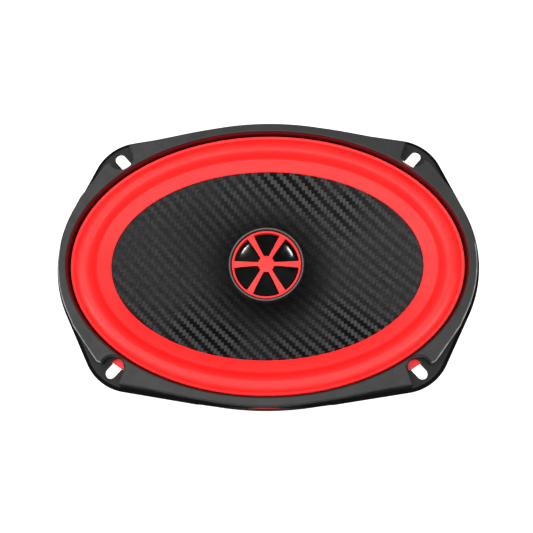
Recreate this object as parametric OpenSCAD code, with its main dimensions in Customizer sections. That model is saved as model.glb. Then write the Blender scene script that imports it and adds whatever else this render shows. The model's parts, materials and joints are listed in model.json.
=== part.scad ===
// Oval coaxial car speaker: a cone with a tweeter held on a post through the motor.
// Z = 0 is the rear mounting plane, +Z points out of the front and +X runs along the length.

/* [Mounting ring] */
// Overall length of the ring
ring_length = 235; // [233:0.5:238]
// Overall width of the ring
ring_width = 164; // [162:0.5:167]
// Height of the front face above the mounting plane
ring_face = 12.7; // [11:0.1:14]
// Height of the sunk corner ledges that take the screws
ledge_top = 5; // [4.5:0.1:6]
// Half length of the opening at the front face
opening_a = 110.5; // [110:0.1:111.5]
// Half width of the opening at the front face
opening_b = 74.9; // [74.5:0.1:75.5]
// Distance from the centre to a screw slot along X
slot_x = 82.3; // [80:0.1:84]
// Distance from the centre to a screw slot along Y
slot_y = 59.3; // [58:0.1:61]
// Width of a screw slot
slot_width = 6; // [4:0.1:6.5]
// Length of a screw slot, end to end
slot_length = 12; // [8:0.5:14]
// Direction of a screw slot, measured from X
slot_angle = 48; // [40:1:56]
// Thickness of the foam gasket
gasket_t = 1.3; // [1:0.1:2]

/* [Basket] */
// Thickness of the pressed steel
sheet = 1.2; // [1:0.1:1.5]
// Half length of the flange
flange_a = 116.6; // [115:0.1:116.8]
// Half width of the flange
flange_b = 80; // [79:0.1:80.2]
// Height of the shelf that carries the spider
spider_shelf = -34; // [-35:0.1:-33]
// Height of the seat that the motor is riveted to
motor_seat = -47; // [-48:0.1:-46]
// Width of a basket leg
leg_width = 20; // [14:1:24]

/* [Cone and surround] */
// Half length of the visible cone
cone_a = 87.3; // [86:0.1:88]
// Half width of the visible cone
cone_b = 54.1; // [53:0.1:55]
// Height of the visible edge of the cone
cone_edge = 1.3; // [0.5:0.1:2]
// Height of the neck, where the cone meets the coil former
cone_neck = -30; // [-31:0.1:-28.5]
// Height of the surround's roll above its flange
roll_height = 4.4; // [3:0.1:5]
// Thickness of the surround
surround_t = 0.8; // [0.6:0.1:1]
// Outer radius of the voice coil former
former_r = 12.9; // [12.7:0.05:13]

/* [Motor] */
// Thickness of the front plate of the motor
front_plate_t = 6; // [5:0.5:6]
// Outer radius of the ring magnet
magnet_r = 45; // [42:0.5:45]
// Thickness of the ring magnet
magnet_t = 16; // [15:0.5:16]
// Thickness of the back plate
back_plate_t = 6; // [6:0.5:7]
// Radius of the pole inside the coil
pole_r = 12; // [11.8:0.1:12]
// Outer radius of the rubber boot
boot_r = 48.5; // [48.5:0.5:50]

/* [Tweeter] */
// Height of the top of the bezel
bezel_top = 3; // [2.5:0.1:4]
// Outer radius of the bezel
bezel_r = 21.4; // [21:0.1:22]
// Radius of the post
post_r = 4; // [3.5:0.1:4]
// Number of vanes on the guard
vane_count = 6; // [5:1:8]

/* [Terminals] */
// Width of the positive blade
positive_w = 6.3; // [5:0.1:6.3]
// Width of the negative blade
negative_w = 4.8; // [2.8:0.1:4.8]
// Distance from the centre to each blade along X
blade_x = 8; // [7:0.5:9]

/* [Hidden] */
$fn = 64;
SIDES = 72;

// The ring's outline is three arcs to a quarter, joined by their common tangents
end_arc_r = 68;
corner_arc_r = 27.5;
side_arc_r = 170;
end_arc_c = [ring_length / 2 - end_arc_r, 0];
corner_arc_c = [73, 44.5];
side_arc_c = [0, ring_width / 2 - side_arc_r];
function tangent_angle(c1, r1, c2, r2) =
    let (d = c2 - c1) atan2(d.y, d.x) - acos((r1 - r2) / norm(d));
end_tangent = tangent_angle(end_arc_c, end_arc_r, corner_arc_c, corner_arc_r);
side_tangent = 360 + tangent_angle(corner_arc_c, corner_arc_r, side_arc_c, side_arc_r);

// A screw ledge is a thin skin round its slot, and wider open below it
ledge_skin = 1.8;
undercut = 3;

// Heights that stack up from the mounting plane
flange_bottom = gasket_t;
flange_top = flange_bottom + sheet;
shelf_a = opening_a - 4;
shelf_b = opening_b - 3.9;
wall_a = opening_a - 0.7;
wall_b = opening_b - 0.6;

// The surround lies on the ring's shelf and, with a glue line, on the cone's rim
surround_a = wall_a - 0.5;
surround_b = wall_b - 0.5;
surround_flange_w = 2.5;
rim_t = surround_t;
glue = 0.3;
roll_a0 = surround_a - surround_flange_w;
roll_a1 = cone_a + 8.9;
roll_base = ledge_top + 0.5;
rim_slope = 0.28;
rim_edge = 1.4;
narrowing = (surround_b - cone_b) / (surround_a - cone_a);

// The motor stacks up from the basket's seat to the rear
magnet_front = motor_seat - front_plate_t;
magnet_rear = magnet_front - magnet_t;
motor_rear = magnet_rear - back_plate_t;
pole_top = motor_seat + 0.5;
boot_floor = motor_rear - 0.2;
boot_rear = boot_floor - 3.8;
boot_front = magnet_front + 3;
former_t = 0.4;
former_top = cone_neck + 3;
former_bottom = magnet_front - 7;
coil_t = 0.8;
gap_r = former_r + coil_t + 0.7;
rivet_circle = 30;
counterbore_r = 8.6;
counterbore_depth = 4.5;
nut_flats = 13;
wire_r = 0.6;

// The tweeter's levels, from the front down
guard_top = bezel_top - 1.3;
guard_bottom = bezel_top - 6.9;
housing_top = bezel_top - 2.5;
yoke_top = bezel_top - 8;
yoke_floor = bezel_top - 15;
housing_floor = bezel_top - 19;
dome_edge = bezel_top - 3.6;
dome_apex = bezel_top - 1.9;
dome_r = 16.4;
dome_rise = dome_apex - dome_edge;
dome_ball = (dome_r * dome_r + dome_rise * dome_rise) / (2 * dome_rise);
film = 0.4;

// The terminal board lies on a tab of the spider shelf
tab_y = 57;
board_t = 1.6;
board_w = 34;
board_l = 18;
board_y0 = 48.5;
board_top = spider_shelf + board_t;
blade_t = 0.8;
capacitor_r = 5;
clip_t = 0.8;
capacitor_y = 53;
capacitor_z = spider_shelf - sheet - clip_t - capacitor_r - 0.05;
capacitor_len = 22;

// Points along an arc, and between two points without the ends
function arc(c, r, a0, a1, steps) =
    [for (i = [0:steps]) let (a = a0 + (a1 - a0) * i / steps) c + r * [cos(a), sin(a)]];
function between(p, q, count) = [for (i = [1:count]) p + (q - p) * i / (count + 1)];

// The outline moved inwards by an inset, anticlockwise from +X
function quarter(inset) =
    let (
        e = arc(end_arc_c, end_arc_r - inset, 0, end_tangent, 4),
        c = arc(corner_arc_c, corner_arc_r - inset, end_tangent, side_tangent, 6),
        s = arc(side_arc_c, side_arc_r - inset, side_tangent, 90, 3)
    )
    concat(e, between(e[4], c[0], 3), c, between(c[6], s[0], 5), s);
function outline(inset) =
    let (q = quarter(inset), last = len(q) - 1)
    concat(
        q,
        [for (i = [last - 1:-1:0]) [-q[i].x, q[i].y]],
        [for (i = [1:last]) -q[i]],
        [for (i = [last - 1:-1:1]) [q[i].x, -q[i].y]]
    );

// The points of an oval, either evenly spread or in the same directions as other points
function oval(a, b, z) = [for (i = [0:SIDES - 1]) [a * cos(360 * i / SIDES), b * sin(360 * i / SIDES), z]];
function oval_along(points, a, b) = [for (p = points) p / norm([p.x / a, p.y / b])];
function at_height(points, z) = [for (p = points) [p.x, p.y, z]];

// The surround's half width that goes with a half length, and the rim it shares with the cone
function surround_b_at(a) = surround_b - (surround_a - a) * narrowing;
function rim_height(a) = cone_edge + glue + rim_t + (a - cone_a) * rim_slope;
function cone_b_at(a) = former_r + (a - former_r) * (cone_b - former_r) / (cone_a - former_r);
function cone_height(share) = cone_neck + (cone_edge - cone_neck) * pow(share, 0.92);

// A closed solid around the Z axis through rings of points, each ring joined to the next
module ring_loft(rings) {
    n = len(rings[0]);
    m = len(rings);
    polyhedron(
        points = [for (ring = rings) each ring],
        faces = [
            for (i = [0:m - 1], j = [0:n - 1])
                let (i2 = (i + 1) % m, j2 = (j + 1) % n)
                each [[i * n + j, i2 * n + j, i2 * n + j2], [i * n + j, i2 * n + j2, i * n + j2]]
        ],
        convexity = 8
    );
}

// A tube of eight sides along a route that never runs along its reference direction
module tube(route, r, across = [1, 0, 0]) {
    last = len(route) - 1;
    n = 8;
    points = [
        for (i = [0:last])
            let (
                step = route[min(i + 1, last)] - route[max(i - 1, 0)],
                t = step / norm(step),
                side = cross(t, across),
                u = side / norm(side),
                v = cross(t, u)
            )
            for (j = [0:n - 1]) route[i] + r * (cos(360 * j / n) * u + sin(360 * j / n) * v)
    ];
    walls = [
        for (i = [0:last - 1], j = [0:n - 1])
            let (j2 = (j + 1) % n)
            each [[i * n + j, (i + 1) * n + j, (i + 1) * n + j2], [i * n + j, (i + 1) * n + j2, i * n + j2]]
    ];
    polyhedron(
        points = points,
        faces = concat(walls, [[for (j = [0:n - 1]) j]], [[for (j = [n - 1:-1:0]) last * n + j]]),
        convexity = 6
    );
}

module in_corners() {
    for (flip_x = [0, 1], flip_y = [0, 1]) mirror([flip_x, 0, 0]) mirror([0, flip_y, 0]) children();
}

module pipe(outer, inner, bottom, top) {
    translate([0, 0, bottom]) difference() {
        cylinder(r = outer, h = top - bottom);
        translate([0, 0, -1]) cylinder(r = inner, h = top - bottom + 2);
    }
}

module on_rivet_circle() {
    for (i = [0:3]) rotate(45 + 90 * i) translate([rivet_circle, 0, 0]) children();
}

module disc(r, bottom, top) {
    translate([0, 0, bottom]) cylinder(r = r, h = top - bottom);
}

// One screw slot in the +X +Y corner, or the wider opening round it
module slot_cut(width, bottom, top) {
    straight = slot_length - slot_width;
    translate([slot_x, slot_y, bottom]) rotate(slot_angle) union() {
        translate([-straight / 2, -width / 2, 0]) cube([straight, width, top - bottom]);
        for (end = [-1, 1]) translate([end * straight / 2, 0, 0]) cylinder(d = width, h = top - bottom);
    }
}

// What is cut away above a corner ledge: the open corner and a round pocket for the screw head
module ledge_cut() {
    pocket_r = 6.5;
    height = ring_face - ledge_top + 1;
    translate([0, 0, ledge_top]) union() {
        linear_extrude(height) polygon([
            [slot_x + 28.2, slot_y - 30.7], [slot_x + 8.6, slot_y - 3.5], [slot_x, slot_y],
            [slot_x - 6.8, slot_y - 0.8], [slot_x - 3.9, slot_y + 8.7], [slot_x - 2, slot_y + 26],
            [slot_x + 30, slot_y + 26], [slot_x + 38, slot_y - 30.7]
        ]);
        translate([slot_x, slot_y, 0]) cylinder(r = pocket_r, h = height);
    }
}

module mounting_ring() {
    foot_top = ledge_top - 2.4;
    ledge_inset = 1.6;
    draft = 2.4;
    edge = 0.6;
    notch_w = 48;
    notch_top = 6.4;
    notch_y = 79.2;
    base = outline(0);
    upper = outline(draft);
    face = outline(draft + edge);
    color([0.1, 0.1, 0.11]) difference() {
        ring_loft([
            at_height(base, flange_bottom),
            at_height(base, foot_top),
            at_height(outline(ledge_inset), ledge_top),
            at_height(upper, ring_face - edge),
            at_height(face, ring_face),
            at_height(oval_along(base, opening_a + edge, opening_b + edge), ring_face),
            at_height(oval_along(base, opening_a, opening_b), ring_face - edge),
            at_height(oval_along(base, wall_a, wall_b), ledge_top),
            at_height(oval_along(base, shelf_a, shelf_b), ledge_top),
            at_height(oval_along(base, shelf_a, shelf_b), flange_top),
            at_height(oval_along(base, flange_a + 0.2, flange_b + 0.2), flange_top),
            at_height(oval_along(base, flange_a + 0.2, flange_b + 0.2), flange_bottom)
        ]);
        in_corners() ledge_cut();
        in_corners() slot_cut(slot_width, -1, ledge_top + 1);
        in_corners() slot_cut(slot_width + undercut, -1, ledge_top - ledge_skin);
        for (side = [-1, 1])
            translate([-notch_w / 2, side > 0 ? notch_y : -notch_y - 10, 0]) cube([notch_w, 10, notch_top]);
    }
}

module mounting_gasket() {
    color([0.06, 0.06, 0.06]) difference() {
        linear_extrude(gasket_t) polygon(outline(0.7));
        translate([0, 0, -1]) linear_extrude(gasket_t + 2)
            polygon([for (p = oval(flange_a - 11.6, flange_b - 10.6, 0)) [p.x, p.y]]);
        in_corners() slot_cut(slot_width + undercut, -1, gasket_t + 1);
    }
}

// The gaps between the legs, from just under the flange to just above the spider shelf
module window_cut() {
    leg_angles = [0, 52, 128, 180, 232, 308];
    top = -9;
    bottom = spider_shelf + 1.6;
    difference() {
        disc(120, bottom, top);
        for (a = leg_angles)
            rotate(a) translate([0, -leg_width / 2, bottom - 1]) cube([130, leg_width, top - bottom + 2]);
    }
}

module basket() {
    bowl = [
        oval(49.4, 48.6, spider_shelf - 0.9),
        oval(60.9, 52.9, -30.9),
        oval(84.9, 60.4, -18.9),
        oval(99.5, 65.5, -8.6),
        oval(flange_a - 14.5, flange_b - 12.9, -0.6),
        oval(flange_a - 12.2, flange_b - 11.2, flange_bottom),
        oval(flange_a, flange_b, flange_bottom),
        oval(flange_a, flange_b, flange_top),
        oval(flange_a - 13, flange_b - 12, flange_top),
        oval(flange_a - 15.6, flange_b - 14, 0),
        oval(98.5, 64.5, -8),
        oval(84, 59.5, -18),
        oval(60, 52, -30),
        oval(48.6, 47.6, spider_shelf - 0.3)
    ];
    cup = [
        [53.5, spider_shelf], [41.2, spider_shelf], [39.6, spider_shelf - 2], [38.4, motor_seat + sheet],
        [16.5, motor_seat + sheet], [16.5, motor_seat], [39.6, motor_seat], [40.8, spider_shelf - 2.5],
        [42, spider_shelf - sheet], [53.5, spider_shelf - sheet]
    ];
    color([0.75, 0.03, 0.05]) difference() {
        union() {
            ring_loft(bowl);
            rotate_extrude() polygon(cup);
            translate([-19, 46, spider_shelf - sheet]) cube([38, tab_y - 46, sheet]);
        }
        window_cut();
        on_rivet_circle() translate([0, 0, motor_seat - 1]) cylinder(r = 2, h = 4);
        for (side = [-1, 1]) translate([side * 14, 52, spider_shelf - 3]) cylinder(r = 1.3, h = 5);
        translate([-board_w / 2 - 0.1, board_y0 - 0.1, spider_shelf])
            cube([board_w + 0.2, board_l + 0.2, board_t + 0.1]);
    }
}

module surround() {
    steps = 10;
    roll_c = (roll_a0 + roll_a1) / 2;
    roll_w = (roll_a0 - roll_a1) / 2;
    rim_in = cone_a;
    function roll(inset, height) = [
        for (i = [0:steps])
            let (a = 180 * i / steps)
            [roll_c + (roll_w - inset) * cos(a), roll_base + max(0, sin(a)) * height]
    ];
    // The upper side from the outer edge inwards, and the lower side back out again
    upper = concat(
        [[surround_a, ledge_top + 1.2], [roll_a0 + 0.3, ledge_top + 1.2]],
        roll(0, roll_height),
        [[roll_a1 - 1.2, rim_height(roll_a1 - 1.2)], [rim_in, rim_height(rim_in)]]
    );
    under = roll(surround_t, roll_height - surround_t);
    lower = concat(
        [[rim_in, rim_height(rim_in) - rim_t], [roll_a1 - 0.9, rim_height(roll_a1 - 0.9) - rim_t]],
        [for (i = [steps:-1:0]) under[i]],
        [[roll_a0, ledge_top], [surround_a, ledge_top]]
    );
    color([0.95, 0.1, 0.1]) ring_loft([for (p = concat(upper, lower)) oval(p[0], surround_b_at(p[0]), p[1])]);
}

module cone() {
    steps = 9;
    thickness = 1.1;
    rim_out = roll_a1 - 0.9;
    neck_r = former_r + 0.1;
    top = concat(
        [[rim_out, surround_b_at(rim_out), rim_height(rim_out) - rim_t - glue]],
        [
            for (i = [steps:-1:0])
                let (share = i / steps, a = neck_r + (cone_a - neck_r) * share)
                [a, max(neck_r, cone_b_at(a)), cone_height(share)]
        ]
    );
    last = len(top) - 1;
    bottom = [for (i = [last:-1:0]) [top[i][0], top[i][1], top[i][2] - thickness]];
    color([0.16, 0.16, 0.17]) ring_loft([for (p = concat(top, bottom)) oval(p[0], p[1], p[2])]);
}

module coil_former() {
    color([0.75, 0.6, 0.3]) pipe(former_r, former_r - former_t, former_bottom, former_top);
}

module voice_coil() {
    middle = motor_seat - front_plate_t / 2;
    color([0.75, 0.4, 0.2]) pipe(former_r + coil_t, former_r, middle - 6.5, middle + 6.5);
}

module spider() {
    t = 0.5;
    inner = former_r + 0.3;
    wave_start = 15.5;
    wave = 4.8;
    waves = 5;
    per_wave = 6;
    height = 1.2;
    wave_end = wave_start + wave * waves;
    function lift(r) = height * sin(360 * (r - wave_start) / wave);
    top = concat(
        [[inner, 0]],
        [for (i = [0:waves * per_wave]) let (r = wave_start + wave * i / per_wave) [r, lift(r)]],
        [[42, 0], [47, 0]]
    );
    count = len(top);
    color([0.82, 0.7, 0.35]) translate([0, 0, spider_shelf]) rotate_extrude() polygon(concat(
        [for (p = top) [p.x, p.y]],
        [for (i = [count - 1:-1:0]) [top[i].x, top[i].y + t]]
    ));
}

module motor_rivets() {
    color([0.7, 0.7, 0.72]) on_rivet_circle() union() {
        disc(2, motor_seat - 3, motor_seat + sheet);
        disc(3.6, motor_seat + sheet, motor_seat + sheet + 1.2);
    }
}

module front_plate() {
    color([0.62, 0.62, 0.64]) difference() {
        pipe(41, gap_r, magnet_front, motor_seat);
        on_rivet_circle() translate([0, 0, motor_seat - 3]) cylinder(r = 2, h = 4);
    }
}

module ring_magnet() {
    color([0.2, 0.2, 0.21]) pipe(magnet_r, 22, magnet_rear, magnet_front);
}

module back_plate() {
    bore_r = post_r + 0.1;
    color([0.62, 0.62, 0.64]) rotate_extrude() polygon([
        [counterbore_r, motor_rear], [41, motor_rear], [41, magnet_rear], [pole_r, magnet_rear],
        [pole_r, pole_top], [bore_r, pole_top], [bore_r, motor_rear + counterbore_depth],
        [counterbore_r, motor_rear + counterbore_depth]
    ]);
}

module magnet_boot() {
    lip_bottom = magnet_front + 0.2;
    channel_w = 5.2;
    channel_r = magnet_r + 2.6;
    color([0.05, 0.05, 0.055]) difference() {
        disc(boot_r, boot_rear, boot_front);
        disc(magnet_r + 0.2, boot_floor, lip_bottom);
        disc(42, lip_bottom - 1, boot_front + 1);
        translate([-channel_w / 2, 0, boot_floor - 2.4])
            cube([channel_w, channel_r, boot_front - boot_floor + 4]);
    }
}

module tweeter_post() {
    shoulder = housing_floor - 1.5;
    color([0.55, 0.5, 0.4]) difference() {
        union() {
            disc(post_r, motor_rear + 0.1, housing_floor + 2);
            disc(7, shoulder, housing_floor);
        }
        disc(2.2, motor_rear - 1, housing_floor + 3);
    }
}

module post_washer() {
    color([0.75, 0.75, 0.77]) pipe(7.8, post_r, motor_rear + 3.7, motor_rear + counterbore_depth);
}

module post_nut() {
    height = 3.3;
    color([0.75, 0.75, 0.77]) translate([0, 0, motor_rear + 3.7 - height]) difference() {
        cylinder(d = nut_flats / cos(30), h = height, $fn = 6);
        translate([0, 0, -1]) cylinder(r = post_r, h = height + 2);
    }
}

module tweeter_housing() {
    color([0.05, 0.05, 0.055]) rotate_extrude() polygon([
        [post_r, housing_floor], [17.5, housing_floor], [19.4, housing_floor + 2], [20.4, housing_top],
        [19.6, housing_top], [19.6, guard_bottom], [15.05, guard_bottom], [15.05, yoke_floor],
        [13.6, yoke_floor], [13.6, housing_floor + 2], [post_r, housing_floor + 2]
    ]);
}

module tweeter_yoke() {
    color([0.62, 0.62, 0.64]) rotate_extrude() polygon([
        [0, yoke_floor], [15, yoke_floor], [15, yoke_top], [12.9, yoke_top], [12.9, yoke_floor + 2],
        [0, yoke_floor + 2]
    ]);
}

module tweeter_magnet() {
    color([0.7, 0.71, 0.73]) disc(10.6, yoke_floor + 2, yoke_top - 1.6);
}

module tweeter_pole_plate() {
    color([0.62, 0.62, 0.64]) disc(11.4, yoke_top - 1.6, yoke_top);
}

// A shallow dome with a flat rim, drawn at an even thickness
function dome_height(r) = dome_apex - dome_ball + sqrt(dome_ball * dome_ball - r * r);
module tweeter_diaphragm() {
    steps = 10;
    rim_r = 17;
    upper = concat(
        [for (i = [0:steps]) let (r = dome_r * i / steps) [r, dome_height(r)]],
        [[rim_r, dome_edge]]
    );
    count = len(upper);
    color([0.03, 0.03, 0.035]) rotate_extrude() polygon(concat(
        upper, [for (i = [count - 1:-1:0]) [upper[i].x, upper[i].y - film]]
    ));
}

module tweeter_coil() {
    outer = 12.5;
    color([0.75, 0.4, 0.2]) pipe(outer, 11.8, yoke_top - 3.6, dome_height(outer) - film);
}

// A ring with domed vanes that clear the diaphragm
module tweeter_guard() {
    inner = 17.7;
    vane_t = 0.9;
    reach = inner + 0.6;
    boss_r = 4.6;
    steps = 6;
    crown = bezel_top - 1;
    function vane_z(r) = crown - 1.4 * pow(r / reach, 2);
    under = [for (i = [0:steps]) let (r = reach * i / steps) [r, vane_z(r)]];
    color([0.95, 0.15, 0.15]) union() {
        pipe(19.4, inner, guard_bottom, guard_top);
        intersection() {
            rotate_extrude() polygon(concat(under, [for (i = [steps:-1:0]) under[i] + [0, vane_t]]));
            translate([0, 0, guard_bottom]) linear_extrude(bezel_top - guard_bottom) union() {
                circle(r = boss_r);
                for (i = [0:vane_count - 1]) rotate(360 * i / vane_count)
                    polygon([[3, -1], [reach + 1, -2], [reach + 1, 2], [3, 1]]);
            }
        }
    }
}

module tweeter_bezel() {
    color([0.4, 0.38, 0.4]) rotate_extrude() polygon([
        [19.8, housing_top], [20.5, housing_top], [20.5, housing_top - 3.5],
        [bezel_r - 0.2, housing_top - 3.5], [bezel_r, bezel_top - 0.8], [bezel_r - 0.5, bezel_top],
        [20.2, bezel_top], [19.8, bezel_top - 0.5]
    ]);
}

module terminal_board() {
    color([0.16, 0.13, 0.1]) difference() {
        translate([-board_w / 2, board_y0, spider_shelf]) cube([board_w, board_l, board_t]);
        for (side = [-1, 1]) {
            translate([side * 14, 52, spider_shelf - 1]) cylinder(r = 1.3, h = 4);
            translate([side * blade_x, 61, spider_shelf - 1]) cylinder(r = 1.3, h = 4);
        }
    }
}

// A flat blade with a tapered tip and a soldering tail towards the cone
module blade(width) {
    tip = 75;
    half = width / 2;
    translate([0, 0, board_top]) difference() {
        linear_extrude(blade_t) polygon([
            [-1.5, 50], [1.5, 50], [1.5, 56], [half, 57], [half, tip - 1.5], [half - 1.2, tip],
            [1.2 - half, tip], [-half, tip - 1.5], [-half, 57], [-1.5, 56]
        ]);
        translate([0, 61, -1]) cylinder(r = 1.3, h = 3);
        translate([0, tip - 3.2, -1]) cylinder(r = 0.8, h = 3);
    }
}

module positive_terminal() {
    color([0.85, 0.75, 0.4]) translate([blade_x, 0, 0]) blade(positive_w);
}

module negative_terminal() {
    color([0.78, 0.78, 0.8]) translate([-blade_x, 0, 0]) blade(negative_w);
}

module rivet(foot, seat) {
    union() {
        disc(1.3, foot, seat);
        disc(2.1, seat, seat + 0.8);
        disc(2.1, foot - 0.8, foot);
    }
}

module terminal_rivets() {
    color([0.72, 0.72, 0.74]) for (side = [-1, 1]) {
        translate([side * 14, 52, 0]) rivet(spider_shelf - sheet, board_top);
        translate([side * blade_x, 61, 0]) rivet(spider_shelf, board_top + blade_t);
    }
}

module crossover_capacitor() {
    bevel = 1;
    half = capacitor_len / 2;
    color([0.08, 0.12, 0.3]) translate([0, capacitor_y, capacitor_z]) rotate([0, 90, 0]) rotate_extrude()
        polygon([
            [0, -half], [capacitor_r - bevel, -half], [capacitor_r, bevel - half],
            [capacitor_r, half - bevel], [capacitor_r - bevel, half], [0, half]
        ]);
}

module capacitor_clip() {
    width = 8;
    inner = capacitor_r + 0.05;
    outer = inner + clip_t;
    color([0.7, 0.7, 0.72]) translate([-width / 2, capacitor_y, capacitor_z]) difference() {
        union() {
            rotate([0, 90, 0]) cylinder(r = outer, h = width);
            translate([0, -3.8, inner]) cube([width, 7.6, clip_t]);
        }
        translate([-1, 0, 0]) rotate([0, 90, 0]) cylinder(r = inner, h = width + 2);
        translate([-1, -3, -outer - 1]) cube([width + 2, 6, 4]);
    }
}

// Short leads of the capacitor: one to the positive rivet, one to the tweeter's wire
module capacitor_leads() {
    half = capacitor_len / 2;
    color([0.8, 0.8, 0.82]) union() {
        tube([
            [half, 53, capacitor_z], [half + 1.5, 53, capacitor_z], [half + 2.6, 53.6, -40.4],
            [half + 3, 55.4, -39.2], [half + 2.6, 57.6, -38], [half + 1.4, 59.6, -36.8], [half - 0.4, 61, -36]
        ], 0.4, [0, 0.2, 1]);
        tube([
            [-half, 53, capacitor_z], [-half - 1.5, 53, capacitor_z], [-half - 2.8, 52.4, -41.4],
            [-half - 2.6, 51, -42.6], [-half - 1.2, 49.6, -43.6], [-half + 1, 48, -43.9]
        ], 0.4, [0, 0.2, 1]);
    }
}

// Flexible braids from the blades' tails, through the window and up to the cone
module tinsel_leads() {
    color([0.75, 0.5, 0.3]) for (side = [-1, 1]) tube([
        [side * blade_x, 51.5, -30.8], [side * 7.9, 49, -30], [side * 7.8, 46.5, -28.8],
        [side * 7.6, 44, -28.2], [side * 7.4, 41, -28.4], [side * 7.2, 38, -29], [side * 7, 35, -29.2],
        [side * 6.8, 32.4, -28.4], [side * 6.6, 30.4, -26.8], [side * 6.4, 29, -24.8],
        [side * 6.2, 28, -22.6]
    ], 0.6);
}

// Two insulated wires from under the tweeter, through the post, round the magnet and up to the board
module tweeter_wires() {
    color([0.3, 0.3, 0.32]) for (side = [-1, 1]) tube([
        [side * 1, 10, -13.1], [side * 1, 7, -13.1], [side * 1, 4, -13.1], [side * 1, 2.2, -13.2],
        [side * 1, 0.9, -13.7], [side * 1, 0.1, -15], [side * 1, 0, -17], [side * 1, 0, -25],
        [side * 1, 0, -40], [side * 1, 0, -55], [side * 1, 0, -68], [side * 1, 0, -72.4],
        [side * 1, 0.4, -74.4], [side * 1, 2, -76], [side * 1, 4.4, -76.4], [side * 1, 8, -76.4],
        [side * 1, 20, -76.4], [side * 1, 32, -76.4], [side * 1, 42, -76.4], [side * 1, 44.8, -75.8],
        [side * 1, 46.2, -74], [side * 1, 46.4, -71.5], [side * 1, 46.4, -64], [side * 1, 46.4, -56],
        [side * 1, 46.4, -50], [side * 1.6, 46.8, -47.5], [side * 4, 47.4, -45.4],
        [side * 6.4, 47.6, -44.8], [side * 9, 48, -44.6]
    ], wire_r);
}

mounting_ring();
mounting_gasket();
basket();
surround();
cone();
coil_former();
voice_coil();
spider();
front_plate();
ring_magnet();
back_plate();
magnet_boot();
motor_rivets();
tweeter_post();
post_washer();
post_nut();
tweeter_housing();
tweeter_yoke();
tweeter_magnet();
tweeter_pole_plate();
tweeter_diaphragm();
tweeter_coil();
tweeter_guard();
tweeter_bezel();
terminal_board();
positive_terminal();
negative_terminal();
terminal_rivets();
crossover_capacitor();
capacitor_clip();
capacitor_leads();
tinsel_leads();
tweeter_wires();
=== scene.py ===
"""Visual model of an oval coaxial car speaker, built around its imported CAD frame.

All lengths in the shape code are millimetres in the frame's own axes: Z = 0 is the rear mounting
plane, +Z points out of the front and +X runs along the speaker's length.
"""

import json
import math

import bmesh
import bpy
import numpy as np
from mathutils import Matrix, Vector


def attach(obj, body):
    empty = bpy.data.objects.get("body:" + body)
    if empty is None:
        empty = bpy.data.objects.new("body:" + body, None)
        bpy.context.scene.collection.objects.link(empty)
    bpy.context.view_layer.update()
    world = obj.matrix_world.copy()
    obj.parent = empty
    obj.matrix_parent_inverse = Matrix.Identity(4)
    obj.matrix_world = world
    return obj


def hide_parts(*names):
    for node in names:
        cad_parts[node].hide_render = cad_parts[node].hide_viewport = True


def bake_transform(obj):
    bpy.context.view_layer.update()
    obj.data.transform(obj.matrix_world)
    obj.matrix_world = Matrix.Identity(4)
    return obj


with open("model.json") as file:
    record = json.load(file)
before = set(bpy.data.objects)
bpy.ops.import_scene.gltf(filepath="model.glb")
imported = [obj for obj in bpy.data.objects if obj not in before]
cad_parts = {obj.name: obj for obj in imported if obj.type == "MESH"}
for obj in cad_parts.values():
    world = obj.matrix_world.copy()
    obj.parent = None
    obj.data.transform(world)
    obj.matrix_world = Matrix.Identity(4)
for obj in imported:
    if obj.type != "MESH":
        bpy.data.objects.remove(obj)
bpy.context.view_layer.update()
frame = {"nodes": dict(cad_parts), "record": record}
cad = frame["nodes"]

MM = 0.001
FLOOR_Z = -79.0


# ---- small tools

def unit(v):
    v = np.asarray(v, float)
    return v / np.linalg.norm(v)


def smoothstep(t):
    t = np.clip(t, 0, 1)
    return t * t * (3 - 2 * t)


def rounded(points, radius, steps=3, closed=True):
    """The same corners, each one rounded off over a short length on both of its sides."""
    points = [np.asarray(p, float) for p in points]
    count = len(points)
    radii = radius if hasattr(radius, "__len__") else [radius] * count
    out = []
    for i, p in enumerate(points):
        if radii[i] <= 0 or (not closed and i in (0, count - 1)):
            out.append(p)
            continue
        before = points[i - 1] - p
        after = points[(i + 1) % count] - p
        reach = min(radii[i], 0.45 * np.linalg.norm(before), 0.45 * np.linalg.norm(after))
        start = p + unit(before) * reach
        end = p + unit(after) * reach
        for k in range(steps + 1):
            s = k / steps
            out.append((1 - s) ** 2 * start + 2 * s * (1 - s) * p + s * s * end)
    return np.array(out)


def smooth_path(points, per_step):
    """A Catmull-Rom curve through the points."""
    pts = np.array(points, float)
    pts = np.vstack([2 * pts[0] - pts[1], pts, 2 * pts[-1] - pts[-2]])
    out = []
    for i in range(1, len(pts) - 2):
        p0, p1, p2, p3 = pts[i - 1:i + 3]
        for k in range(per_step):
            t = k / per_step
            out.append(
                0.5 * (2 * p1 + (p2 - p0) * t + (2 * p0 - 5 * p1 + 4 * p2 - p3) * t ** 2
                       + (3 * p1 - p0 - 3 * p2 + p3) * t ** 3)
            )
    out.append(pts[-2])
    return np.array(out)


def show(name, data):
    obj = bpy.data.objects.new(name, data)
    bpy.context.scene.collection.objects.link(obj)
    return obj


def make_object(name, points, faces):
    mesh = bpy.data.meshes.new(name)
    mesh.from_pydata([tuple(p) for p in np.asarray(points, float) * MM], [], faces)
    tidy_mesh(mesh)
    return show(name, mesh)


def tidy_mesh(mesh, merge=1e-6):
    """Merges doubled points, turns every face outwards and shades smooth."""
    bm = bmesh.new()
    bm.from_mesh(mesh)
    bmesh.ops.remove_doubles(bm, verts=bm.verts, dist=merge)
    bmesh.ops.dissolve_degenerate(bm, dist=merge, edges=bm.edges)
    bmesh.ops.recalc_face_normals(bm, faces=bm.faces)
    for f in bm.faces:
        f.smooth = True
    bm.to_mesh(mesh)
    bm.free()


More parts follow.
